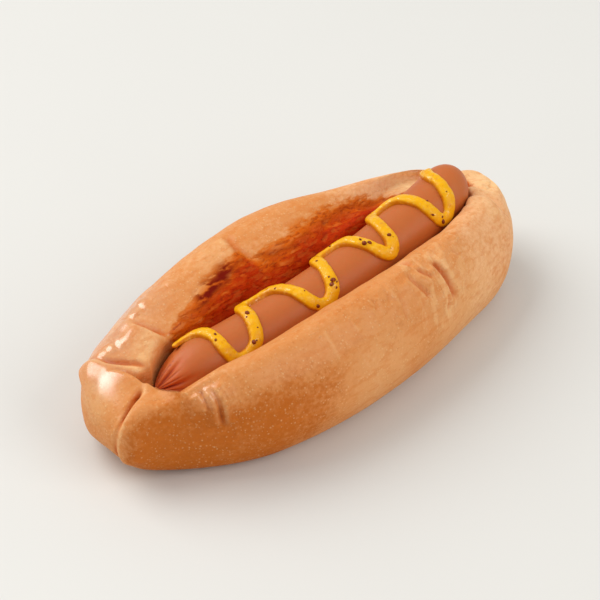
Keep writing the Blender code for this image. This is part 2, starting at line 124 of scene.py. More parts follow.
# Wrinkles of the skin, finer than the creases and in the same terms.  A depth below zero makes a
# thin pale ridge.
WRINKLES = (
    (((-67, -22, 34.2), (-66.8, -24.8, 31.5), (-66.8, -26.6, 27.9)), 0.9, 0.8, 1.1, 0.7, 1.6),
    (((-64, -22.6, 34.6), (-63.4, -25.8, 32), (-63.4, -27.8, 28.4), (-63.4, -29.2, 21)),
     1.1, 0.9, 1, 1.3, 1.8),
    (((-61, -25, 33.4), (-60.2, -28, 30.4), (-60, -29.6, 25)), 0.4, 0.8, 0.5, 0.3, 1.6),
    (((27.9, -25.3, 39.5), (29.3, -28.1, 37.1), (30.8, -31, 33.3), (31.7, -33.1, 28.5),
      (31.8, -34.4, 25)), 1.6, 1.35, 1.1, 1.1, 3),
    (((20.5, -26.8, 39.5), (23, -28.8, 37.6), (24.7, -29.9, 36.1)), 1.2, 1.1, 0.9, 0.7, 2.4),
    (((18.5, -20.6, 39.6), (19.2, -22.5, 40.2), (20.1, -24.5, 40.2)), 1, 1.1, 0.7, 0.8, 2.4),
    (((16.2, -26.8, 40.2), (17.5, -30.1, 37.4), (19.7, -32.4, 34.2),
      (21.2, -33.8, 31.2)), 1.1, 1.15, 0.9, 0.7, 2.6),
    (((28.8, -33.2, 29.9), (28.7, -34.4, 26.4), (28.4, -35.3, 23.5)), 0.9, 1.1, 0.7, 0.6, 2.4),
    (((-0.8, -29.1, 40.4), (-1.9, -33.1, 37.4)), 0.4, 0.8, 0.3, 0.2, 2),
    (((5.7, -26.8, 40.6), (4, -31.5, 38.1)), 0.45, 0.8, 0.3, 0.3, 2),
    (((8.5, -31.3, 37.7), (8.2, -34.6, 34), (8, -36.6, 30.2)), 0.5, 0.9, 0.3, 0.3, 2.2),
    (((16.3, -33.6, 33.4), (16.3, -36.4, 27.5)), 0.35, 0.9, 0.3, 0.2, 2.2),
    (((43.3, -15.9, 37.8), (43, -19.8, 39.5), (45.1, -22, 38.9)), 0.5, 0.7, 0.4, 0.2, 1.6),
    (((40.6, -20.6, 39.6), (39.8, -23.4, 39)), 0.4, 0.7, 0.3, 0.2, 1.6),
    (((38.4, -25.2, 37.8), (40.6, -26.8, 35.7)), 0.5, 0.7, 0.3, 0.3, 1.8),
    (((62.9, -5.6, 33.8), (63.1, -7.3, 34.8), (63.8, -11.4, 36.9)), 0.4, 0.6, 0.4, 0.2, 1.5),
    (((-23.4, -30.1, 39.7), (-23, -34.5, 36.1), (-22.3, -38.1, 31)), -0.22, 0.8, 0, 0, 2),
    (((-13.2, -30.2, 40.1), (-12.5, -33.2, 37.9), (-11.6, -35.6, 35.2)), -0.17, 0.7, 0, 0, 2),
    (((-56.1, 26.3, 32.8), (-56.6, 18.4, 34.5)), 0.5, 0.8, 0.4, 0.4, 1.8),
    (((-51.5, 28.5, 32.8), (-52.4, 20.7, 35)), 0.5, 0.8, 0.4, 0.4, 1.8),
    (((-62.7, 22.4, 32.7), (-61.3, 18.8, 33.7)), 0.45, 0.8, 0.4, 0.4, 1.8),
    (((-71.5, 17.1, 32), (-72.8, 11.7, 31.9)), 0.45, 0.8, 0.4, 0.4, 1.8),
    (((-75.2, 15.5, 31.2), (-75.4, 12.1, 31)), 0.4, 0.7, 0.3, 0.4, 1.6),
    (((-45.1, 28, 34.5), (-44.1, 22.8, 35.8)), 0.4, 0.8, 0.4, 0.3, 1.8),
    (((26.5, -22.9, 40), (28, -25, 39.8), (30, -27.2, 37.7), (32, -29, 35.4),
      (34.2, -30.6, 32.5)), -0.26, 0.6, 0, 0, 1.6),
    (((27.1, -27.1, 38.3), (28.4, -29.5, 35.7), (29, -31.8, 32.5), (30.3, -33.3, 29)),
     -0.28, 0.6, 0, 0, 1.6),
    (((19.8, -24.6, 40.2), (19.9, -26.7, 39.7), (21.7, -28.5, 38), (24.2, -29.6, 36.5)),
     -0.34, 0.55, 0, 0, 1.6),
    (((16.4, -27.1, 39.9), (17.6, -29.1, 38.1), (19.1, -31.4, 35.5), (21.4, -33.3, 32.2)),
     -0.3, 0.65, 0, 0, 1.6),
    (((29.6, -33.5, 28.6), (29.1, -34.7, 25.3), (28.7, -35.4, 22.1)), -0.24, 0.6, 0, 0, 1.6),
    (((6.2, -28, 40.6), (7.5, -32, 37.3), (8.5, -34.8, 33.7)), -0.22, 0.7, 0, 0, 1.6),
    (((19.3, -18.8, 38.4), (19.6, -21, 39.4), (20, -24.3, 40.2)), -0.26, 0.6, 0, 0, 1.6),
    (((38.1, -25.8, 37.4), (41, -27.2, 35)), -0.24, 0.5, 0, 0, 1.6),
    (((-63.2, -24.6, 34.4), (-63.4, -26.6, 31.8), (-63.5, -28, 27.8)), -0.3, 0.6, 0, 0, 1.6),
    (((-66.2, -23, 33.9), (-66.4, -24.6, 31.8), (-66.6, -25.8, 29)), -0.28, 0.6, 0, 0, 1.6),
    (((-24, 32.7, 36.7), (-21.5, 26.1, 38.3)), 0.4, 1.2, 0.2, 0.1, 2.6),
    (((61.5, 23.6, 29.5), (62.5, 20, 28.5)), -0.6, 0.9, 0.2, 0, 2),
)  # fmt: skip

# The part of its length over which a fold fades out at each end.
CREASE_FADE, WRINKLE_FADE = 0.12, 0.14
# Painted shade: the crust is darkened down in the creases and wrinkles, fully from this depth.
FOLD_DARKEST = 1.15  # the depth from which a fold is darkest

# Unevenness of the skin: height and span of its lumps.
UNEVEN, UNEVEN_SPAN = 0.8, 30.0
DIMPLED, DIMPLED_SPAN = 0.16, 7.0
TORN_FROM, TORN_TO = 16.6, 18.2  # places round the section
TORN = ((1.1, 8), (0.5, 3.4), (0.22, 1.5))  # height and span of each layer of the torn relief

# Where the sauce has soaked in: (x, y) of the edge that it reaches on the rear wall, and the
# dark baked patch there with its reach.
SAUCE_EDGE = (
    (-60, 7), (-52.6, 10.1), (-47.5, 12.4), (-40.3, 14.6), (-35.4, 17), (-31.2, 18.6),
    (-27.2, 19.4), (-23.6, 20.2), (-19.6, 21.2), (-16.8, 22.4), (-14.4, 22.6), (-13.2, 20),
    (-11.8, 17.6), (-7.9, 18), (-4.3, 18.1), (0.5, 18.6), (6.4, 20.2), (11.4, 20.8),
    (16.9, 21.9), (22.3, 22.8), (27.5, 23.5), (34.6, 23.7), (41.8, 23), (47.9, 21.6),
    (53.6, 19.4), (59, 16.5), (63, 13),
)  # fmt: skip
SCORCH = ((-36.5, 14.6, 33), (-32.4, 16.5, 33.9), (-27, 17, 34.3), (-23.2, 18.6, 35.6))
SCORCH_REACH = 2.5
DARK_EDGE = (
    (-40, 12), (-24, 18), (-13, 18.5), (-6, 16.5), (2, 15), (9, 16.5), (17, 18),
    (24, 20), (33, 22), (46, 20), (57, 17),
)  # fmt: skip
SMEAR = ((79, 9.5, 30), (77.5, 5.5, 30))
SMEAR_REACH = 1.8

# Pale places of the crust and shiny ones: each a spot, its reach and its strength.
PALE_SPOTS = (
    ((-66, 7.2, 31), 3.8, 0.42), ((-62, 10, 32), 3.4, 0.32), ((-71, 4.8, 29.8), 3.6, 0.38),
    ((62, 23, 29.5), 6, 0.45), ((84, 4, 29), 11, 0.64), ((70, -12, 35), 7, 0.25),
    ((-24, 27, 38.5), 8, 0.16), ((-88, 4, 24), 7, 0.25), ((40, -34, 16), 22, 0.2),
    ((84, -12, 16), 12, 0.22), ((-4, -38, 20), 16, 0.16),
)  # fmt: skip
SHINY_SPOTS = (
    ((-84, 6, 30.5), 6, 1), ((-60, 24.5, 32.5), 9, 0.9), ((-72, 17, 32), 8, 1),
    ((-80, 18, 27), 7, 0.7), ((-66, -24, 33.5), 3, 0.6), ((-50, 26, 35), 8, 0.5),
)  # fmt: skip

# The sausage.
SAUSAGE_LEFT, SAUSAGE_RIGHT = SAUSAGE_LOW.x, SAUSAGE_HIGH.x
SAUSAGE_RADIUS = 10.1
SAUSAGE_LEFT_TAPER, SAUSAGE_RIGHT_TAPER = 19.0, 11.5
SAUSAGE_LEFT_FULLNESS = 0.72
PUCKERS, PUCKER_PART, PUCKER_REACH = 7, 0.09, 7.0
TIP_GROOVE = 0.8
PLEATS, PLEAT_DEPTH = 19, 0.4
# Its middle line, by u from -1 to 1 along it: y and its slope and bend, then the same of z with a
# bend for the left half and one for the right half.
SAUSAGE_MIDDLE_X, SAUSAGE_REACH_X = 0.5, 69.0
SAUSAGE_Y = (-3.0, 3.5, 5.2)
SAUSAGE_Z = (25.5, 6.3, 2.1, 2.4)

# The mustard: a bead that winds over the sausage.  Each turn is (x, degrees round the
# sausage), with 0 at the rear, 90 at the top and 180 at the front.
BEAD_HALF_WIDTH, BEAD_HALF_HEIGHT, BEAD_SINK = 2.35, 1.75, 0.35
BEAD_STEPS = 2400  # how finely the turns are read
BEAD_TURNS = (
    (60.8, 50), (58.2, 72), (57.8, 105), (57.0, 140), (54.8, 163), (51.6, 163), (48.4, 138),
    (45.2, 92), (41.6, 50), (36.5, 36), (31.6, 48), (28.7, 90), (27.9, 128), (25.4, 143),
    (22.0, 128), (18.4, 90), (15.0, 50), (9.4, 38), (4.0, 50), (1.0, 98), (-1.4, 134),
    (-5.2, 148), (-10.2, 132), (-13.8, 88), (-17.4, 50), (-23.6, 40), (-29.2, 50),
    (-31.8, 96), (-34.4, 134), (-38.6, 152), (-43.4, 152), (-46.0, 126), (-46.3, 84),
    (-48.2, 54), (-53.0, 46), (-57.5, 58),
)  # fmt: skip

FORK = 2.4  # how far the bead's right end is cleft
BEAD_SQUARE_ACROSS, BEAD_SQUARE_UP = 0.85, 0.75  # powers below 1 square its section

# Seeds: places along the bead, as bead_frame counts its turns, how far to one side, and size.
SEED_SHAPE = (0.5, 1.3)  # the least and the most of a seed's three sizes
SEEDS = (
    (26.87, 0.25, 1.2), (27.05, 0.6, 0.7), (28.32, 0.55, 1.3), (28.2, 0.25, 0.8), (27.6, -0.1, 0.6),
    (31.72, 0.05, 1.1), (31.5, -0.5, 0.7), (19.57, -0.05, 1.5), (19.75, 0.35, 1.2), (19.4, 0.35, 1.0),
    (19.9, -0.3, 0.8), (19.65, -0.5, 0.9), (14.77, -0.45, 1.4), (14.6, 0.0, 1.1), (14.95, -0.1, 1.0),
    (11.67, 0.25, 1.3), (11.85, -0.15, 0.8), (16.49, -0.6, 0.9), (18.52, 0.35, 1.1), (22.49, 0.45, 0.7),
    (21.78, -0.45, 1.1), (5.21, -0.15, 1.3), (5.4, 0.3, 0.8), (6.02, -0.55, 0.9), (6.51, 0.7, 0.8),
    (12.6, 0.5, 0.6), (23.5, -0.7, 0.6), (9.0, 0.4, 0.8), (2.6, 0.3, 0.7),
)  # fmt: skip

# The camera: its place, and the directions of the picture's right, of its foot and of the view.
CAMERA_PLACE = (-356.9, -407.8, 448.4)
PICTURE_RIGHT = (0.75680, -0.65363, -0.00344)
PICTURE_FOOT = (-0.40631, -0.46631, -0.78579)
VIEW_AHEAD = (0.51201, 0.59609, -0.61849)
CAMERA_LENS, CAMERA_SENSOR = 122.87, 36.0

# In metres: the camera's clipping, half the table's side, then each light's place, size and colour.
CLIP_START, CLIP_END = 0.05, 20.0
TABLE_HALF_SIDE = 4.0
KEY_LIGHT = ((-0.62, 1.3, 1.55), 1.8, (1.0, 0.98, 0.95))
FILL_LIGHT = ((0.55, -1.5, 1.1), 1.4, (1.0, 0.97, 0.93))
ROOM_COLOUR = (1.0, 0.97, 0.93, 1.0)

# How far red, green and blue light spread inside each material, in metres.
CRUST_SCATTER = (0.004, 0.0022, 0.0012)
SAUSAGE_SCATTER = (0.008, 0.003, 0.0015)
MUSTARD_SCATTER = (0.003, 0.002, 0.0005)


def shade(red, green, blue):
    """The linear colour of a tone given in steps of 255."""
    steps = (step / 255.0 for step in (red, green, blue))
    return tuple(s / 12.92 if s <= 0.04045 else ((s + 0.055) / 1.055) ** 2.4 for s in steps)


def tone(name, description, red, green, blue):
    return FloatVectorProperty(
        name=name, description=description, subtype="COLOR", size=3, min=0.0, max=1.0,
        default=shade(red, green, blue),
    )  # fmt: skip


class RollSettings(PropertyGroup):
    """Sizes and colours of the roll."""

    rings: IntProperty(name="Rings", description="Rings of skin from end to end", default=410)
    segments: IntProperty(name="Segments", description="Segments round the roll", default=232)
    crease: FloatProperty(name="Creases", description="Depth of the creases, as a part", default=1.0)
    wrinkle: FloatProperty(
        name="Wrinkles", description="Depth of the wrinkles, as a part", default=1.0
    )
    light: tone("Light crust", "Crust where the oven browned it least", 232, 178, 130)
    golden: tone("Golden crust", "Crust over most of the roll", 214, 142, 82)
    brown: tone("Brown crust", "Crust where the oven browned it most", 186, 98, 22)
    crumb: tone("Crumb", "Pale crumb in the folds", 246, 206, 150)
    sauce: tone("Sauce", "Crumb soaked with sauce", 206, 96, 12)
    deep_sauce: tone("Deep sauce", "Crumb soaked with most sauce", 178, 46, 0)
    toast: tone("Toasted crumb", "Crumb round the edge of the sauce", 204, 112, 34)
    # The colour of the painted shade down in the creases and wrinkles.
    fold_shade: tone("Painted shade in the folds", "Painted shade down in the creases and wrinkles", 194, 86, 8)
    scorch: tone("Scorched crumb", "Crumb that the oven scorched", 116, 20, 4)
    subsurface: FloatProperty(name="Softness", description="Share of light let in", default=0.1)


class SausageSettings(PropertyGroup):
    """Sizes and colours of the sausage."""

    rings: IntProperty(name="Rings", description="Rings of skin from end to end", default=320)
    segments: IntProperty(name="Segments", description="Segments round the sausage", default=160)
    skin: tone("Skin", "Skin over most of the sausage", 184, 100, 44)
    # The colour of the painted shade on the sausage's lower side.
    tan: tone("Painted shade of the skin", "Skin low on the sausage", 178, 80, 12)
    groove: tone("Grooves", "The drawn-in skin at the tip", 222, 88, 22)
    speck: tone("Specks", "The dark specks at the tip", 118, 40, 44)


class MustardSettings(PropertyGroup):
    """Sizes and colours of the mustard."""

    rings: IntProperty(name="Rings", description="Rings along the bead", default=760)
    segments: IntProperty(name="Segments", description="Segments round the bead", default=26)
    yellow: tone("Mustard", "Mustard over most of the bead", 234, 172, 4)
    # Also the colour of the painted shade towards the bead's low edges.
    amber: tone("Thin mustard and painted shade", "Mustard at the edges of the bead", 204, 120, 12)
    pale: tone("Pale mustard", "Streaks of paler mustard", 244, 200, 50)
    browned: tone("Browned mustard", "Small brown marks of the mustard", 176, 92, 14)
    seed: tone("Seeds", "Crushed seeds in the mustard", 118, 40, 12)
    seed_size: FloatProperty(
        name="Seed size", description="Length of a seed", unit="LENGTH", default=1.25 * MM
    )


class StageSettings(PropertyGroup):
    """The table and the light."""

    table: tone("Table", "The plain table", 217, 218, 216)
    key: FloatProperty(name="Key light", description="Power of the large light", default=37.0)
    fill: FloatProperty(name="Fill light", description="Power of the camera's light", default=15.0)
    sky: FloatProperty(name="Room light", description="Strength of the light all round", default=0.58)


def smooth(t):
    t = np.clip(t, 0.0, 1.0)
    return t * t * (3.0 - 2.0 * t)


def bell(distance, reach, power=2):
    """1 at no distance, falling off to nothing beyond the reach."""
    return np.exp(-((distance / reach) ** power))


def catmull_rom(before, a, b, after, t):
    """The smooth curve from a to b, at t from 0 to 1."""
    return 0.5 * (
        2 * a + (b - before) * t + (2 * before - 5 * a + 4 * b - after) * t**2
        + (3 * a - before - 3 * b + after) * t**3
    )  # fmt: skip


def through(values, index):
    """The smooth curve through values at 0, 1, 2 and so on, read at index."""
    values = np.asarray(values, float)
    last = len(values) - 1
    i = np.clip(np.floor(index).astype(int), 0, last - 1)
    before, after = values[np.clip(i - 1, 0, last)], values[np.clip(i + 2, 0, last)]
    return catmull_rom(before, values[i], values[i + 1], after, index - i)


def lumps(points, span, seed, weight=1.0):
    """Smooth noise from about -1 to 1 times the weight of each point; span is its lumps' size."""
    offset = Vector((seed, 0.0, 0.0))
    weight = np.broadcast_to(weight, len(points))
    made = np.zeros(len(points))
    for i in np.nonzero(weight > 0.001)[0]:
        made[i] = noise.noise(Vector(points[i]) / span + offset)
    return made * weight


def sausage_axis(x):
    """(y, z) of the sausage's curved middle line."""
    u = (x - SAUSAGE_MIDDLE_X) / SAUSAGE_REACH_X
    y, slope, bend = SAUSAGE_Y
    z, climb, left_bend, right_bend = SAUSAGE_Z
    return y + slope * u + bend * u * u, z + climb * u + np.where(u > 0, right_bend, left_bend) * u * u


def sausage_radius(x):
    """The sausage's radius: a drawn-in left end and a rounded right end."""
    left = np.clip((x - SAUSAGE_LEFT) / SAUSAGE_LEFT_TAPER, 0.0, 1.0)
    right = np.clip((SAUSAGE_RIGHT - x) / SAUSAGE_RIGHT_TAPER, 0.0, 1.0)
    radius = SAUSAGE_RADIUS * np.sin(0.5 * math.pi * left) ** SAUSAGE_LEFT_FULLNESS
    return radius * np.sqrt(np.maximum(1.0 - (1.0 - right) ** 2, 0.0))


def roll_section(latitude):
    """Points (y, z) round the roll at each latitude, from the middle of the base to the front."""
    u = np.sin(latitude)
    x = ROLL_MIDDLE_X + ROLL_HALF_LENGTH * u
    station = (latitude / math.pi + 0.5) * 6.0
    reach = np.maximum(np.cos(latitude), 0.0) ** WIDTH_ROUNDING
    front = through(FRONT_WIDTH, station) * reach
    rear = through(REAR_WIDTH, station) * reach
    nose = np.where(u < 0, LEFT_NOSE_HEIGHT, RIGHT_NOSE_HEIGHT)
    bottom = nose * (1.0 - np.sqrt(np.maximum(1.0 - np.abs(u) ** BASE_ROUNDING, 0.0)))
    full_height = np.sqrt(np.maximum(1.0 - np.abs(u) ** TOP_ROUNDING, 0.0))
    front_top = nose + (through(FRONT_TOP, station) - nose) * full_height
    rear_top = nose + (through(REAR_TOP, station) - nose) * full_height
    middle = through(MIDDLE_LINE, station)

    def ahead(part):
        return bottom + (front_top - bottom) * part

    def behind(part):
        return bottom + (rear_top - bottom) * part

    y_axis, z_axis = sausage_axis(x)
    y_axis = y_axis - middle
    seat = np.maximum(sausage_radius(x) + SLOT_GAP, SLOT_LEAST_RADIUS)
    full = SAUSAGE_RADIUS + SLOT_GAP
    part = seat / full
    lean = LIP_LEAN + LIP_LEAN_ALONG * u + LIP_LEAN_LEFT * smooth((-45.0 - x) / 25.0)
    wall = WALL_NARROW + (WALL_WIDE - WALL_NARROW) * smooth((x + 62.0) / 40.0)

    def opening(across):
        ramp = SLOT_LEFT_SLOPE + SLOT_LEFT_VALLEY * across
        left = smooth((x - SLOT_LEFT) / ramp + 1.0)
        return left * smooth((SLOT_RIGHT - x) / SLOT_RIGHT_SLOPE + 1.0)

    held = smooth((x - LIP_HELD_FROM) / LIP_HELD_SPAN)
    lip = y_axis - (1.0 - held) * (0.75 * full + 0.25 * seat + lean) - held * (seat + LIP_HELD_GAP)
    shut_lip = np.where(u < 0, -0.5, -0.3) * front
    lip = opening(0.0) * lip + (1.0 - opening(0.0)) * shut_lip
    border = opening(1.0) * (y_axis + seat + wall) + (1.0 - opening(1.0)) * 0.3 * rear
    ledge = np.minimum(ahead(0.9), behind(0.9))

    points = [(0.0 * u, bottom)] + [(-out * front, ahead(up)) for out, up in FLANK]
    points += [(0.3 * lip - 0.7 * front, ahead(0.86)), (0.64 * lip - 0.36 * front, ahead(0.985))]
    drop = LIP_DROP * smooth((x - LIP_DROP_FROM) / LIP_DROP_SPAN) * (1.0 - 0.8 * held)
    points += [(lip, ahead(0.98 - drop))]
    inner = [(y_axis - seat - (0.42 - 0.3 * held) * lean, z_axis + 4.5 * part)]
    for degrees in (180, 210, 240, 270, 300, 330, 358):
        angle = math.radians(degrees)
        inner += [(y_axis + seat * math.cos(angle), z_axis + seat * math.sin(angle))]
    inner += [(y_axis + seat + 0.3 * wall, z_axis + 4.0 * part)]
    for i, (y, z) in enumerate(inner):
        across = (i + 1.0) / (len(inner) + 1.0)
        shut_y = lip + (border - lip) * across
        shut_z = ahead(0.975) * (1.0 - across) + behind(0.975) * across
        shut_z = shut_z + DOME * (border - lip) * across * (1.0 - across)
        open_slot = opening(across)
        points += [(
            open_slot * y + (1.0 - open_slot) * shut_y,
            open_slot * np.minimum(z, ledge) + (1.0 - open_slot) * shut_z,
        )]  # fmt: skip
    points += [(border, behind(0.98 - 0.1 * opening(1.0)))]
    points += [(0.52 * border + 0.48 * rear, behind(0.99))]
    points += [(0.16 * border + 0.84 * rear, behind(0.87))]
    points += [(out * rear, behind(up)) for out, up in reversed(FLANK)]
    curve = np.array([(y + middle, z) for y, z in points])
    return x, np.moveaxis(curve, -1, 0)


def roll_points(latitude, turn):
    """Points on the roll's skin, and the place of each round the section."""
    x, curve = roll_section(latitude)
    count = curve.shape[1]
    share = np.array(PLACE_SHARE)
    marks = np.concatenate([[0.0], np.cumsum(share)]) / share.sum()
    index = np.interp(turn % 1.0, marks, np.arange(count + 1.0))
    i = np.floor(index).astype(int) % count
    t = (index - np.floor(index))[:, None]
    row = np.arange(len(latitude))
    skin = catmull_rom(*(curve[row, (i + step) % count] for step in (-1, 0, 1, 2)), t)
    skin[:, 1] = np.maximum(skin[:, 1], 0.0)
    return np.column_stack([x, skin]), index


def run_along(line):
    """How far each point of a line lies from its start, along it."""
    return np.concatenate([[0.0], np.cumsum(np.linalg.norm(np.diff(line, axis=0), axis=1))])


def nearest_on(path, points):
    """Distance from each point to a path."""
    path = np.asarray(path, float)
    best = np.full(len(points), np.inf)
    for start, stop in zip(path, path[1:]):
        ahead = stop - start
        t = np.clip((points - start) @ ahead / (ahead @ ahead), 0.0, 1.0)
        best = np.minimum(best, np.linalg.norm(points - start - t[:, None] * ahead, axis=1))
    return best


def fold_relief(folds, points, normals, fade):
    """How far folds push the skin out, how deep each point lies in one, and how near a crest."""
    relief = np.zeros(len(points))
    valley = np.zeros(len(points))
    crest = np.zeros(len(points))
    for path, depth, width, right, left, carry in folds:
        count = 12 * len(path)
        index = np.linspace(0.0, len(path) - 1.0, count)
        line = np.column_stack([through(column, index) for column in np.transpose(path)])
        run = run_along(line)
        way = np.gradient(line, run, axis=0)
        reach = 4.0 * carry
        near = np.all((points > line.min(0) - reach) & (points < line.max(0) + reach), axis=1)
        spots = points[near]
        apart = spots[:, None, :] - line[None, :, :]
        square = np.einsum("ijk,ijk->ij", apart, apart)
        gap = np.sqrt(square.min(1))
        weight = np.exp((gap[:, None] ** 2 - square) / (2.0 * (0.35 * carry) ** 2))
        weight /= weight.sum(1)[:, None]
        ahead = np.cross(weight @ way, normals[near])
        side = np.einsum("ij,ij->i", ahead, spots - weight @ line)
        rise = left + (right - left) * smooth(0.5 + side / (0.5 * carry))
        place_along = weight @ run / run[-1]
        ends = smooth(place_along / fade - 0.2) * smooth((1.0 - place_along) / fade - 0.2)
        swell = (gap / carry) * np.exp(1.0 - gap / carry) * bell(gap, 3.0 * carry, 4)
        groove = bell(gap, width)
        relief[near] += ends * (rise * swell - depth * groove)
        valley[near] = np.maximum(valley[near], ends * groove * max(depth, 0.0))
        rim = ends * rise * bell(gap - 1.5 * width, 0.8 * width)
        crest[near] = np.maximum(crest[near], rim + max(-6.0 * depth, 0.0) * ends * groove)
    return relief, valley, crest


def sphere_coordinates(mesh):
    """(latitude, turn) of each vertex of a unit sphere, its rings less crowded at the poles."""
    unit = np.array([v.co for v in mesh.verts])
    latitude = np.arcsin(np.clip(unit[:, 2], -1.0, 1.0))
    latitude = latitude - RING_SPREAD * np.sin(2.0 * latitude)
    turn = np.arctan2(unit[:, 1], unit[:, 0]) / (2.0 * math.pi)
    return latitude, turn % 1.0


def new_sphere(look):
    mesh = bmesh.new()
    bmesh.ops.create_uvsphere(mesh, u_segments=look.segments, v_segments=look.rings, radius=1.0)
    return mesh


def place(mesh, points):
    """Moves the vertices to points in millimetres, with the faces turned outward."""
    for vertex, point in zip(mesh.verts, points):
        vertex.co = Vector(point) * MM
    if mesh.calc_volume(signed=True) < 0.0:
        bmesh.ops.reverse_faces(mesh, faces=mesh.faces)
    mesh.normal_update()


def normals_of(mesh):
    return np.array([v.normal for v in mesh.verts])


def add_object(name, data):
    thing = bpy.data.objects.new(name, data)
    bpy.context.scene.collection.objects.link(thing)
    return thing


def mesh_object(name, mesh, material):
    data = bpy.data.meshes.new(name)
    mesh.to_mesh(data)
    mesh.free()
    data.materials.append(material)
    return add_object(name, data)


def finished(name, mesh, material, **marks):
    """The piece made from a bmesh, with its material and its masks as attributes."""
    piece = mesh_object(name, mesh, material)
    piece.data.shade_smooth()
    for mark, values in marks.items():
        layer = piece.data.attributes.new(mark, "FLOAT", "POINT")
        layer.data.foreach_set("value", np.clip(values, 0.0, 1.0).astype(np.float32))
    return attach(piece, "root")


def feed(tree, node, inputs):
    """Gives each named input a value or another node's output."""
    for key, value in inputs.items():
        if isinstance(value, bpy.types.NodeSocket):
            tree.links.new(value, node.inputs[key])
        else:
            node.inputs[key].default_value = value


def add_node(tree, kind, inputs=None, **settings):
    made = tree.nodes.new(kind)
    for key, value in settings.items():
        setattr(made, key, value)
    feed(tree, made, inputs or {})
    return made


def math_node(tree, operation, *values, clamp=False):
    inputs = dict(enumerate(values))
    return add_node(tree, "ShaderNodeMath", inputs, operation=operation, use_clamp=clamp).outputs[0]


def plus(tree, first, second):
    """The sum of two masks, kept from 0 to 1."""
    return math_node(tree, "ADD", first, second, clamp=True)


def times(tree, first, second):
    return math_node(tree, "MULTIPLY", first, second, clamp=True)


def mixed(tree, factor, first, second):
    """The second colour laid over the first by a mask."""
    inputs = {0: factor}
    for slot, side in ((6, first), (7, second)):
        inputs[slot] = side if isinstance(side, bpy.types.NodeSocket) else (*side, 1.0)
    return add_node(tree, "ShaderNodeMix", inputs, data_type="RGBA", clamp_factor=True).outputs[2]


def bumps(tree, height, strength, distance):
    """A normal roughened by a height, with its distance in metres."""
    inputs = {"Height": height, "Strength": strength, "Distance": distance}
    return add_node(tree, "ShaderNodeBump", inputs).outputs[0]


def spread(tree, value, low, high, to_low=0.0, to_high=1.0):
    """The value carried smoothly from one range to another."""
    made = add_node(
        tree, "ShaderNodeMapRange",
        {"Value": value, "From Min": low, "From Max": high, "To Min": to_low, "To Max": to_high},
        interpolation_type="SMOOTHSTEP",
    )  # fmt: skip
    return made.outputs[0]


def stretch(tree, where, scale, turn=(0.0, 0.0, 0.0)):
    """Coordinates that draw a texture out."""
    inputs = {"Vector": where, "Scale": scale, "Rotation": turn}
    return add_node(tree, "ShaderNodeMapping", inputs).outputs[0]


def mask(tree, name):
    return add_node(tree, "ShaderNodeAttribute", attribute_name=name).outputs["Fac"]


def new_group(name, output, **values):
    """A node group that reads a vector and named floats with their usual values, and its ends."""
    tree = bpy.data.node_groups.new(name, "ShaderNodeTree")
    tree.interface.new_socket(name="Vector", in_out="INPUT", socket_type="NodeSocketVector")
    for label, value in values.items():
        socket = tree.interface.new_socket(name=label, in_out="INPUT", socket_type="NodeSocketFloat")
        socket.default_value = value
    tree.interface.new_socket(name=output, in_out="OUTPUT", socket_type="NodeSocketFloat")
    return tree, tree.nodes.new("NodeGroupInput"), tree.nodes.new("NodeGroupOutput")


def mottle_group():
    """Soft cloudy variation: Span is the size of its clouds in metres."""
    tree, start, end = new_group("Mottle", "Value", Span=0.01, Detail=3.0, Contrast=1.0)
    scale = math_node(tree, "DIVIDE", 1.0, start.outputs["Span"])
    cloud = add_node(
        tree, "ShaderNodeTexNoise",
        {"Vector": start.outputs["Vector"], "Scale": scale, "Detail": start.outputs["Detail"]},
    )  # fmt: skip
    centred = math_node(tree, "SUBTRACT", cloud.outputs["Fac"], 0.5)
    made = math_node(tree, "MULTIPLY_ADD", centred, start.outputs["Contrast"], 0.5)
    tree.links.new(made, end.inputs["Value"])
    return tree


def speckle_group():
    """Scattered round dots: Span is the mean space between them and Size their part of it."""
    tree, start, end = new_group("Speckle", "Mask", Span=0.001, Size=0.3, Cover=0.5)
    scale = math_node(tree, "DIVIDE", 1.0, start.outputs["Span"])
    cells = add_node(tree, "ShaderNodeTexVoronoi", {"Vector": start.outputs["Vector"], "Scale": scale})
    random = add_node(tree, "ShaderNodeSeparateColor", {0: cells.outputs["Color"]})
    size = math_node(tree, "MULTIPLY", random.outputs[0], start.outputs["Size"])
    dot = spread(tree, cells.outputs["Distance"], size, 0.0)
    chosen = math_node(tree, "LESS_THAN", random.outputs[1], start.outputs["Cover"])
    tree.links.new(times(tree, dot, chosen), end.inputs["Mask"])
    return tree


def use_group(tree, group, where, **inputs):
    """The output of a shared group read at where; the inputs left out keep the group's values."""
    made = tree.nodes.new("ShaderNodeGroup")
    made.node_tree = bpy.data.node_groups.get(group.capitalize()) or GROUPS[group]()
    feed(tree, made, {"Vector": where} | {key.capitalize(): value for key, value in inputs.items()})
    return made.outputs[0]


GROUPS = {"mottle": mottle_group, "speckle": speckle_group}


def new_material(name):
    """A material with its node tree, its shader and the object's own coordinates."""
    material = bpy.data.materials.new(name)
    material.use_nodes = True
    tree = material.node_tree
    where = add_node(tree, "ShaderNodeTexCoord").outputs["Object"]
    return material, tree, tree.nodes["Principled BSDF"], where


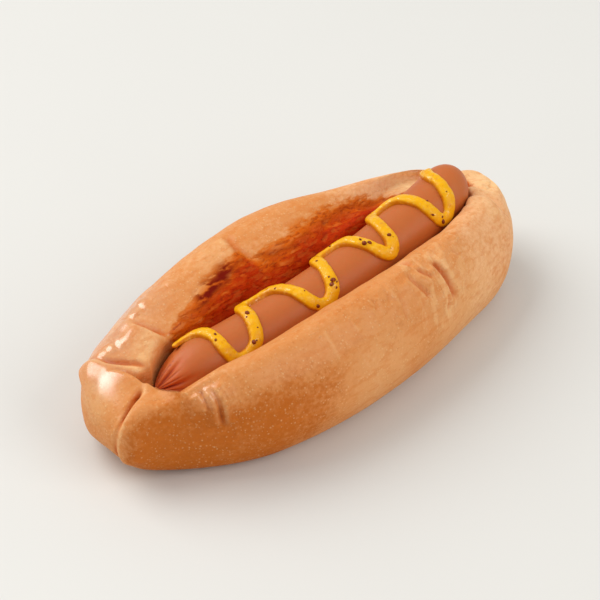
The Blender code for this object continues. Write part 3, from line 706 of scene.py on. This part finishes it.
def crust_material(look):
    """Browned crust, pale crumb in the folds, painted shade down in the creases, and the rear wall
    soaked with sauce.
    """
    material, tree, shader, where = new_material("Crust")
    broad = use_group(tree, "mottle", where, span=0.022)
    patchy = use_group(tree, "mottle", where, span=0.006, detail=4.0)
    bake = plus(tree, mask(tree, "bake"), spread(tree, broad, 0.2, 0.8, -0.1, 0.1))
    bake = plus(tree, bake, spread(tree, patchy, 0.3, 0.7, -0.06, 0.06))
    freckled = use_group(tree, "mottle", where, span=0.0014, detail=4.0, contrast=1.6)
    bake = plus(tree, bake, spread(tree, freckled, 0.2, 0.8, -0.09, 0.09))
    colour = mixed(tree, spread(tree, bake, 0.0, 0.5), look.light, look.golden)
    colour = mixed(tree, spread(tree, bake, 0.5, 1.0), colour, look.brown)
    pale = times(tree, mask(tree, "pale"), spread(tree, patchy, 0.2, 0.6, 0.85, 1.0))
    gathered = stretch(tree, where, (1.0, 0.24, 0.24), (0.0, 0.3, 0.0))
    ridges = use_group(tree, "mottle", gathered, span=0.003, contrast=2.0)
    ridges = times(tree, spread(tree, ridges, 0.1, 0.9), mask(tree, "crinkle"))
    pale = plus(tree, pale, spread(tree, ridges, 0.45, 0.9, 0.0, 0.22))
    colour = mixed(tree, pale, colour, look.crumb)

    dots = use_group(tree, "speckle", where, span=0.0009, size=0.65, cover=0.7)
    spots = use_group(tree, "speckle", where, span=0.0026, size=0.24, cover=0.35)
    dotted = times(tree, dots, spread(tree, patchy, 0.3, 0.7, 0.16, 0.5))
    dotted = plus(tree, dotted, times(tree, spots, 0.26))
    colour = mixed(tree, dotted, colour, look.crumb)
    pores = use_group(tree, "speckle", where, span=0.0017, size=0.4, cover=0.4)
    colour = mixed(tree, times(tree, pores, 0.35), colour, look.brown)

    # Painted shade down in the creases and wrinkles.
    darkened = times(tree, mask(tree, "fold_shade"), 0.7)
    colour = mixed(tree, darkened, colour, look.fold_shade)

    depth = mask(tree, "depth")
    stretched = stretch(tree, where, (0.45, 1.0, 1.4))
    fibres = use_group(tree, "mottle", stretched, span=0.0026, detail=6.0, contrast=2.2)
    soaked = plus(tree, depth, spread(tree, fibres, 0.0, 1.0, 0.4, -0.4))
    torn = mixed(tree, spread(tree, soaked, 0.0, 0.9), look.sauce, look.deep_sauce)
    bright = times(tree, spread(tree, fibres, 0.6, 0.95), spread(tree, depth, 1.0, 0.2))
    torn = mixed(tree, times(tree, bright, 0.45), torn, look.golden)
    veins = use_group(tree, "mottle", stretched, span=0.0012, detail=4.0, contrast=2.4)
    torn = mixed(tree, spread(tree, veins, 0.15, 0.45, 0.45, 0.0), torn, look.scorch)
    edge = plus(tree, mask(tree, "stain"), spread(tree, fibres, 0.2, 0.8, -0.28, 0.26))
    colour = mixed(tree, spread(tree, edge, 0.05, 0.6, 0.0, 0.9), colour, look.toast)
    edge = spread(tree, edge, 0.35, 0.9)
    colour = mixed(tree, edge, colour, torn)
    scorched = times(tree, mask(tree, "scorch"), spread(tree, fibres, 0.2, 0.6))
    colour = mixed(tree, scorched, colour, look.scorch)

    shine = times(tree, mask(tree, "gloss"), spread(tree, patchy, 0.3, 0.6, 0.5, 1.0))
    shine = plus(tree, shine, spread(tree, edge, 0.0, 0.6, 0.05, 0.0))
    grain = use_group(tree, "mottle", where, span=0.0009)
    height = plus(tree, times(tree, grain, 0.5), times(tree, dots, 0.3))
    height = times(tree, plus(tree, height, times(tree, edge, fibres)), 0.5)
    height = plus(tree, height, times(tree, ridges, 0.5))
    feed(tree, shader, {
        "Base Color": colour, "Roughness": spread(tree, patchy, 0.0, 1.0, 0.48, 0.62),
        "Coat Weight": shine, "Coat Roughness": 0.22, "Coat IOR": 2.5,
        "Normal": bumps(tree, height, 0.65, 0.0014), "Specular IOR Level": 0.05,
        "Subsurface Weight": look.subsurface, "Subsurface Radius": CRUST_SCATTER,
        "Subsurface Scale": 1.0,
    })  # fmt: skip
    return material


def sausage_material(look):
    """Smooth skin, darker and more orange low down as painted shade, drawn into orange grooves and dark
    specks at the left tip.
    """
    material, tree, shader, where = new_material("Sausage skin")
    broad = use_group(tree, "mottle", where, span=0.014, contrast=1.2)
    # Painted shade: the skin darker and more orange on the sausage's lower side, with some cloudy
    # variation.
    low = plus(tree, mask(tree, "low"), spread(tree, broad, 0.2, 0.8, -0.15, 0.15))
    colour = mixed(tree, low, look.skin, look.tan)
    colour = mixed(tree, mask(tree, "groove"), colour, look.groove)
    specks = use_group(tree, "speckle", where, span=0.0014, size=0.6, cover=0.6)
    specked = times(tree, specks, mask(tree, "specked"))
    colour = mixed(tree, specked, colour, look.speck)
    pinched = times(tree, mask(tree, "pinch"), 0.75)
    colour = mixed(tree, pinched, colour, look.speck)
    fine = use_group(tree, "mottle", where, span=0.0016, detail=2.0)
    colour = mixed(tree, spread(tree, fine, 0.3, 0.9, 0.0, 0.12), colour, look.groove)
    feed(tree, shader, {
        "Base Color": colour, "Roughness": spread(tree, broad, 0.0, 1.0, 0.4, 0.52),
        "Normal": bumps(tree, fine, 0.18, 0.0004), "Specular IOR Level": 0.35,
        "Subsurface Weight": 0.18, "Subsurface Radius": SAUSAGE_SCATTER, "Subsurface Scale": 1.0,
    })  # fmt: skip
    return material


def mustard_material(look):
    """Wet yellow mustard, amber towards its low edges, partly where it thins out and partly as painted
    shade.
    """
    material, tree, shader, where = new_material("Mustard")
    broad = use_group(tree, "mottle", where, span=0.005, contrast=1.3)
    fine = use_group(tree, "mottle", where, span=0.0013, contrast=1.2)
    # Amber towards the bead's low edges: partly thin mustard, partly painted shade.
    thin_and_shaded = plus(tree, mask(tree, "edge"), spread(tree, broad, 0.2, 0.8, -0.25, 0.25))
    colour = mixed(tree, thin_and_shaded, look.yellow, look.amber)
    flecks = use_group(tree, "speckle", where, span=0.0017, size=0.6, cover=0.45)
    colour = mixed(tree, times(tree, flecks, 0.5), colour, look.amber)
    marks = use_group(tree, "speckle", where, span=0.0026, size=0.42, cover=0.3)
    colour = mixed(tree, times(tree, marks, 0.6), colour, look.browned)
    colour = mixed(tree, spread(tree, fine, 0.55, 0.85, 0.0, 0.55), colour, look.pale)
    feed(tree, shader, {
        "Base Color": colour, "Roughness": spread(tree, fine, 0.2, 0.8, 0.3, 0.48),
        "Coat Weight": spread(tree, fine, 0.5, 0.66), "Coat Roughness": 0.1,
        "Normal": bumps(tree, fine, 0.4, 0.0005), "Specular IOR Level": 0.2,
        "Subsurface Weight": 0.12, "Subsurface Radius": MUSTARD_SCATTER, "Subsurface Scale": 1.0,
    })  # fmt: skip
    return material


def seed_material(look):
    """Crushed seeds, shiny and uneven in colour."""
    material, tree, shader, where = new_material("Mustard seed")
    fine = use_group(tree, "mottle", where, span=0.0008, detail=2.0, contrast=1.4)
    colour = mixed(tree, spread(tree, fine, 0.5, 0.9, 0.0, 0.5), look.seed, look.amber)
    rough = spread(tree, fine, 0.0, 1.0, 0.3, 0.5)
    feed(tree, shader, {"Base Color": colour, "Roughness": rough, "Specular IOR Level": 0.3})
    return material


def table_material(look):
    """A plain pale table with a faint grain."""
    material, tree, shader, where = new_material("Table")
    broad = use_group(tree, "mottle", where, span=0.2, detail=2.0)
    darker = tuple(0.97 * part for part in look.table)
    colour = mixed(tree, spread(tree, broad, 0.2, 0.8), look.table, darker)
    feed(tree, shader, {"Base Color": colour, "Roughness": spread(tree, broad, 0.0, 1.0, 0.45, 0.55)})
    return material


def spots_mask(points, spots, power):
    """The strength of the spots at each point."""
    return sum(
        amount * bell(np.linalg.norm(points - np.array(spot), axis=1), reach, power)
        for spot, reach, amount in spots
    )


def skin_masks(points, index, valley, crest):
    """Where the crust is browned, pale, soaked, scorched or shiny, and where shade is painted down in
    its creases.
    """
    x, y, z = points.T
    front = smooth((-8.0 - y) / 10.0)
    left = smooth((-14.0 - x) / 40.0)
    side = smooth((37.0 - z) / 14.0)
    bake = 0.42 + front * (0.1 + 0.5 * left * side) - 0.27 * smooth((x - 20.0) / 36.0)
    bake += 0.1 * smooth((-62.0 - x) / 14.0) * smooth((y + 14.0) / 8.0)
    bake -= 0.16 * smooth((9.0 - z) / 9.0)
    bake += 0.1 * smooth((y - 12.0) / 14.0) * smooth((34.0 - z) / 18.0)
    # Painted shade: darker down in the creases and wrinkles.
    fold_shade = np.clip(valley / FOLD_DARKEST, 0.0, 1.0) ** 2
    edge_y = np.interp(x, *np.array(SAUCE_EDGE).T)
    inside = smooth(index - WALL_FROM) * smooth((x + 60.0) / 8.0) * smooth((66.0 - x) / 8.0)
    stain = inside * smooth((edge_y - y - 0.2) / 6.0 + 0.5)
    depth = smooth((edge_y - y) / 10.0)
    scorch = bell(nearest_on(SCORCH, points), SCORCH_REACH)
    low_edge = np.interp(x, *np.array(DARK_EDGE).T)
    scorch += 0.5 * stain * bell(low_edge - y, 1.1)
    stain = np.maximum(stain, 0.8 * bell(nearest_on(SMEAR, points), SMEAR_REACH))
    # Paler along the rims of the creases and along the thin ridges: partly pale crust, partly a painted
    # highlight where those edges catch the light.
    pale = (0.24 * crest + spots_mask(points, PALE_SPOTS, 4)) * (1.0 - stain)
    drawn = bell(x - 27.0, 20.0) + 0.8 * bell(x + 61.0, 7.0)
    crinkle = drawn * smooth((-14.0 - y) / 8.0) * smooth((z - 12.0) / 12.0)
    crinkle += 0.9 * bell(x + 68.0, 14.0) * smooth((y - 15.0) / 6.0)
    return {
        "bake": bake, "pale": pale, "fold_shade": fold_shade, "stain": stain, "depth": depth, "scorch": scorch,
        "gloss": spots_mask(points, SHINY_SPOTS, 2), "crinkle": crinkle,
    }  # fmt: skip


def make_roll(look):
    mesh = new_sphere(look)
    latitude, turn = sphere_coordinates(mesh)
    points, index = roll_points(latitude, turn)
    place(mesh, points)
    normals = normals_of(mesh)
    shut = smooth((-68.0 - points[:, 0]) / 3.0) + smooth((points[:, 0] - 76.0) / 3.0)
    inner = smooth((index - SLOT_FROM) / SLOT_BLEND) * smooth((SLOT_TO - index) / SLOT_BLEND)
    outside = 1.0 - inner * (1.0 - shut)
    lifted = smooth((points[:, 2] - 1.0) / 7.0)
    creases, valley, crest = fold_relief(CREASES, points, normals, CREASE_FADE)
    creases += fold_relief(SADDLE, points, normals, CREASE_FADE)[0]
    poles = ROLL_HALF_LENGTH - np.abs(points[:, 0] - ROLL_MIDDLE_X)
    relief = look.crease * creases * outside * (0.25 + 0.75 * smooth(poles / 4.0))
    relief += UNEVEN * lumps(points, UNEVEN_SPAN, seed=3.0, weight=outside)
    relief += DIMPLED * lumps(points, DIMPLED_SPAN, seed=5.0, weight=outside)
    torn = smooth((index - TORN_FROM) / 0.4) * smooth((TORN_TO - index) / 0.5)
    torn = torn * smooth((points[:, 0] + 58.0) / 12.0) * smooth((62.0 - points[:, 0]) / 12.0)
    for height, span in TORN:
        relief += height * lumps(points, span, seed=11.0, weight=torn)
    points = points + normals * (relief * lifted)[:, None]
    place(mesh, points)
    normals = normals_of(mesh)
    wrinkles, dip, ridge = fold_relief(WRINKLES, points, normals, WRINKLE_FADE)
    points = points + normals * (look.wrinkle * wrinkles * outside * lifted)[:, None]
    place(mesh, points)
    marks = skin_masks(points, index, valley + 0.9 * dip, crest + 0.6 * ridge)
    roll = finished("roll", mesh, crust_material(look), **marks)
    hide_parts("bun")


def make_sausage(look):
    mesh = new_sphere(look)
    latitude, turn = sphere_coordinates(mesh)
    along = np.sin(latitude)
    x = 0.5 * (SAUSAGE_LEFT + SAUSAGE_RIGHT) + 0.5 * (SAUSAGE_RIGHT - SAUSAGE_LEFT) * along
    angle = 2.0 * math.pi * turn
    far = x - SAUSAGE_LEFT
    groove = np.clip(np.cos(PUCKERS * angle + 0.12 * far), 0.0, 1.0) ** 3
    pucker = PUCKER_PART * bell(far, PUCKER_REACH) * (1.0 + np.cos(PUCKERS * angle))
    radius = sausage_radius(x) * (1.0 - pucker)
    radius -= TIP_GROOVE * groove * bell(far - 4.0, 5.0)
    pleats = np.clip(np.cos(PLEATS * angle + 0.4), 0.0, 1.0) ** 2
    pleats *= bell(far - 2.5, 4.5, 4)
    radius -= PLEAT_DEPTH * pleats * smooth(radius / 3.0)
    y, z = sausage_axis(x)
    points = np.column_stack([x, y + radius * np.cos(angle), z + radius * np.sin(angle)])
    place(mesh, points)
    uneven = 0.12 * lumps(points, 12.0, seed=21.0) + 0.03 * lumps(points, 3.0, seed=22.0)
    place(mesh, points + normals_of(mesh) * uneven[:, None])
    height = np.sin(angle)
    rear_top = smooth((np.cos(angle) + 0.2) / 0.5) * smooth((height + 0.1) / 0.4)
    marks = {
        # painted shade: darker low on the sausage
        "low": smooth((0.35 - height) / 0.9),
        "groove": (0.45 + 0.55 * groove) * bell(far, 8.0),
        "pinch": 0.6 * pleats + groove**2 * bell(far, 5.0) + (far < 0.5),
        "specked": rear_top * bell(far - 5.0, 4.5),
    }
    sausage = finished("sausage_skin", mesh, sausage_material(look), **marks)
    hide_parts("sausage")


def bead_frame(count):
    """The bead's middle line, its outward, sideways and forward directions, and its turns."""
    turns = np.array(BEAD_TURNS, float)
    index = np.linspace(0.0, len(turns) - 1.0, BEAD_STEPS)
    x = through(turns[:, 0], index)
    angle = np.radians(through(turns[:, 1], index))
    y, z = sausage_axis(x)
    out = np.column_stack([0.0 * x, np.cos(angle), np.sin(angle)])
    squeeze = smooth((np.degrees(angle) - 125.0) / 45.0)
    radius = SAUSAGE_RADIUS + BEAD_SINK - 0.7 * squeeze
    middle = np.column_stack([x, y, z]) + out * radius[:, None]
    run = run_along(middle)
    even = np.linspace(0.0, run[-1], count)
    pick = np.array([np.interp(even, run, column) for column in np.hstack([middle, out]).T]).T
    turn_at = np.interp(even, run, index)
    middle, out = pick[:, :3], pick[:, 3:]
    out /= np.linalg.norm(out, axis=1)[:, None]
    forward = np.gradient(middle, axis=0)
    forward /= np.linalg.norm(forward, axis=1)[:, None]
    side = np.cross(forward, out)
    side /= np.linalg.norm(side, axis=1)[:, None]
    return middle, out, side, forward, turn_at


def make_mustard(look):
    mesh = new_sphere(look)
    unit = np.array([v.co for v in mesh.verts])
    latitude = np.arcsin(np.clip(unit[:, 2], -1.0, 1.0))
    ring = np.rint((latitude / math.pi + 0.5) * look.rings).astype(int)
    angle = np.arctan2(unit[:, 1], unit[:, 0])
    middle, out, side, forward, _ = bead_frame(look.rings + 1)
    far = np.linspace(0.0, run_along(middle)[-1], look.rings + 1)
    near = np.clip(np.minimum(far, far[::-1]) / 2.0, 0.0, 1.0)
    size = np.sqrt(np.clip(1.0 - (1.0 - near) ** 2, 0.0, 1.0))
    size *= 0.45 + 0.55 * smooth(far[::-1] / 10.0)
    thick = 1.0 + 0.1 * lumps(middle, 6.0, seed=31.0) + 0.05 * lumps(middle, 2.2, seed=32.0)
    across = np.sign(np.cos(angle)) * np.abs(np.cos(angle)) ** BEAD_SQUARE_ACROSS
    upward = np.sign(np.sin(angle)) * np.abs(np.sin(angle)) ** BEAD_SQUARE_UP
    width = BEAD_HALF_WIDTH * (size * thick)[ring] * across
    height = BEAD_HALF_HEIGHT * (size * thick)[ring] * upward
    points = middle[ring] + side[ring] * width[:, None] + out[ring] * height[:, None]
    fork = FORK * smooth(1.0 - far / (1.6 * FORK))[ring] * (1.0 - np.abs(np.cos(angle)))
    points += forward[ring] * fork[:, None]
    place(mesh, points)
    uneven = 0.16 * lumps(points, 2.4, seed=33.0) + 0.07 * lumps(points, 1.1, seed=34.0)
    place(mesh, points + normals_of(mesh) * (uneven * size[ring])[:, None])
    # Towards the low edges of the bead: partly thin mustard, partly painted shade.
    edge = smooth((0.62 - np.sin(angle)) / 0.6)
    mustard = finished("mustard", mesh, mustard_material(look), edge=edge)


def make_seeds(look):
    rng = np.random.default_rng(seed=7)
    middle, out, side, _, turn_at = bead_frame(count=1200)
    mesh = bmesh.new()
    half = 0.5 * look.seed_size / MM
    for turn, across, part in SEEDS:
        i = int(np.argmin(np.abs(turn_at - turn)))
        rise = BEAD_HALF_HEIGHT * math.sqrt(max(1.0 - across * across, 0.0))
        spot = middle[i] + side[i] * (BEAD_HALF_WIDTH * across) + out[i] * (rise - 0.1)
        shape = Matrix.Diagonal((*(half * part * rng.uniform(*SEED_SHAPE, 3)), 1.0))
        spin = Matrix.Rotation(rng.uniform(0.0, math.pi), 4, Vector(rng.normal(size=3)))
        matrix = Matrix.Scale(MM, 4) @ Matrix.Translation(Vector(spot)) @ spin @ shape
        bmesh.ops.create_icosphere(mesh, subdivisions=2, radius=1.0, matrix=matrix)
    seeds = finished("mustard_seeds", mesh, seed_material(look))


def make_table(look):
    mesh = bmesh.new()
    bmesh.ops.create_grid(mesh, x_segments=4, y_segments=4, size=TABLE_HALF_SIDE)
    table = mesh_object("table", mesh, table_material(look))


def make_light(name, power, place_m, size_m, colour):
    """A soft square light that faces the roll."""
    data = bpy.data.lights.new(name, "AREA")
    data.shape = "SQUARE"
    data.size = size_m
    data.energy = power
    data.color = colour
    lamp = add_object(name, data)
    lamp.location = place_m
    lamp.rotation_euler = (-Vector(place_m)).to_track_quat("-Z", "Y").to_euler()


def make_camera():
    data = bpy.data.cameras.new("camera")
    data.sensor_width = CAMERA_SENSOR
    data.lens = CAMERA_LENS
    data.clip_start, data.clip_end = CLIP_START, CLIP_END
    camera = add_object("camera", data)
    turn = Matrix((PICTURE_RIGHT, [-part for part in PICTURE_FOOT], [-part for part in VIEW_AHEAD]))
    camera.matrix_world = Matrix.Translation(Vector(CAMERA_PLACE) * MM) @ turn.transposed().to_4x4()
    bpy.context.scene.camera = camera


def make_room_light(look):
    world = bpy.data.worlds.new("room")
    world.use_nodes = True
    tree = world.node_tree
    feed(tree, tree.nodes["Background"], {"Color": ROOM_COLOUR, "Strength": look.sky})
    bpy.context.scene.world = world


class HOTDOG_OT_roll(Operator):
    """Make the roll with its creases, its crust and its soaked rear wall"""

    bl_idname = "hotdog.roll"
    bl_label = "Roll"

    def execute(self, context):
        make_roll(context.scene.hot_dog_roll)
        return {"FINISHED"}


class HOTDOG_OT_sausage(Operator):
    """Make the sausage with its drawn-in tip"""

    bl_idname = "hotdog.sausage"
    bl_label = "Sausage"

    def execute(self, context):
        make_sausage(context.scene.hot_dog_sausage)
        return {"FINISHED"}


class HOTDOG_OT_mustard(Operator):
    """Make the bead of mustard and the seeds in it"""

    bl_idname = "hotdog.mustard"
    bl_label = "Mustard"

    def execute(self, context):
        make_mustard(context.scene.hot_dog_mustard)
        make_seeds(context.scene.hot_dog_mustard)
        return {"FINISHED"}


class HOTDOG_OT_stage(Operator):
    """Make the table, the lights and the camera"""

    bl_idname = "hotdog.stage"
    bl_label = "Stage"

    def execute(self, context):
        look = context.scene.hot_dog_stage
        context.scene.view_settings.view_transform = "Standard"
        make_table(look)
        make_room_light(look)
        make_light("key light", look.key, *KEY_LIGHT)
        make_light("fill light", look.fill, *FILL_LIGHT)
        make_camera()
        return {"FINISHED"}


class HOTDOG_PT_panel(Panel):
    """The pieces of the hot dog and their settings"""

    bl_idname = "HOTDOG_PT_panel"
    bl_label = "Hot dog"
    bl_space_type = "VIEW_3D"
    bl_region_type = "UI"
    bl_category = "Hot dog"

    def draw(self, context):
        for operator, holder, _ in PIECES:
            box = self.layout.box()
            box.operator(operator)
            settings = getattr(context.scene, holder)
            for key in settings.__annotations__:
                box.prop(settings, key)


PIECES = (
    ("hotdog.roll", "hot_dog_roll", RollSettings),
    ("hotdog.sausage", "hot_dog_sausage", SausageSettings),
    ("hotdog.mustard", "hot_dog_mustard", MustardSettings),
    ("hotdog.stage", "hot_dog_stage", StageSettings),
)
CLASSES = (
    RollSettings, SausageSettings, MustardSettings, StageSettings, HOTDOG_OT_roll,
    HOTDOG_OT_sausage, HOTDOG_OT_mustard, HOTDOG_OT_stage, HOTDOG_PT_panel,
)  # fmt: skip


def register():
    for cls in CLASSES:
        bpy.utils.register_class(cls)
    for _, holder, settings in PIECES:
        setattr(bpy.types.Scene, holder, PointerProperty(type=settings))


def unregister():
    for _, holder, _ in PIECES:
        delattr(bpy.types.Scene, holder)
    for cls in reversed(CLASSES):
        bpy.utils.unregister_class(cls)


def main():
    register()
    bpy.ops.hotdog.roll()
    bpy.ops.hotdog.sausage()
    bpy.ops.hotdog.mustard()
    bpy.ops.hotdog.stage()


if __name__ == "__main__":
    main()
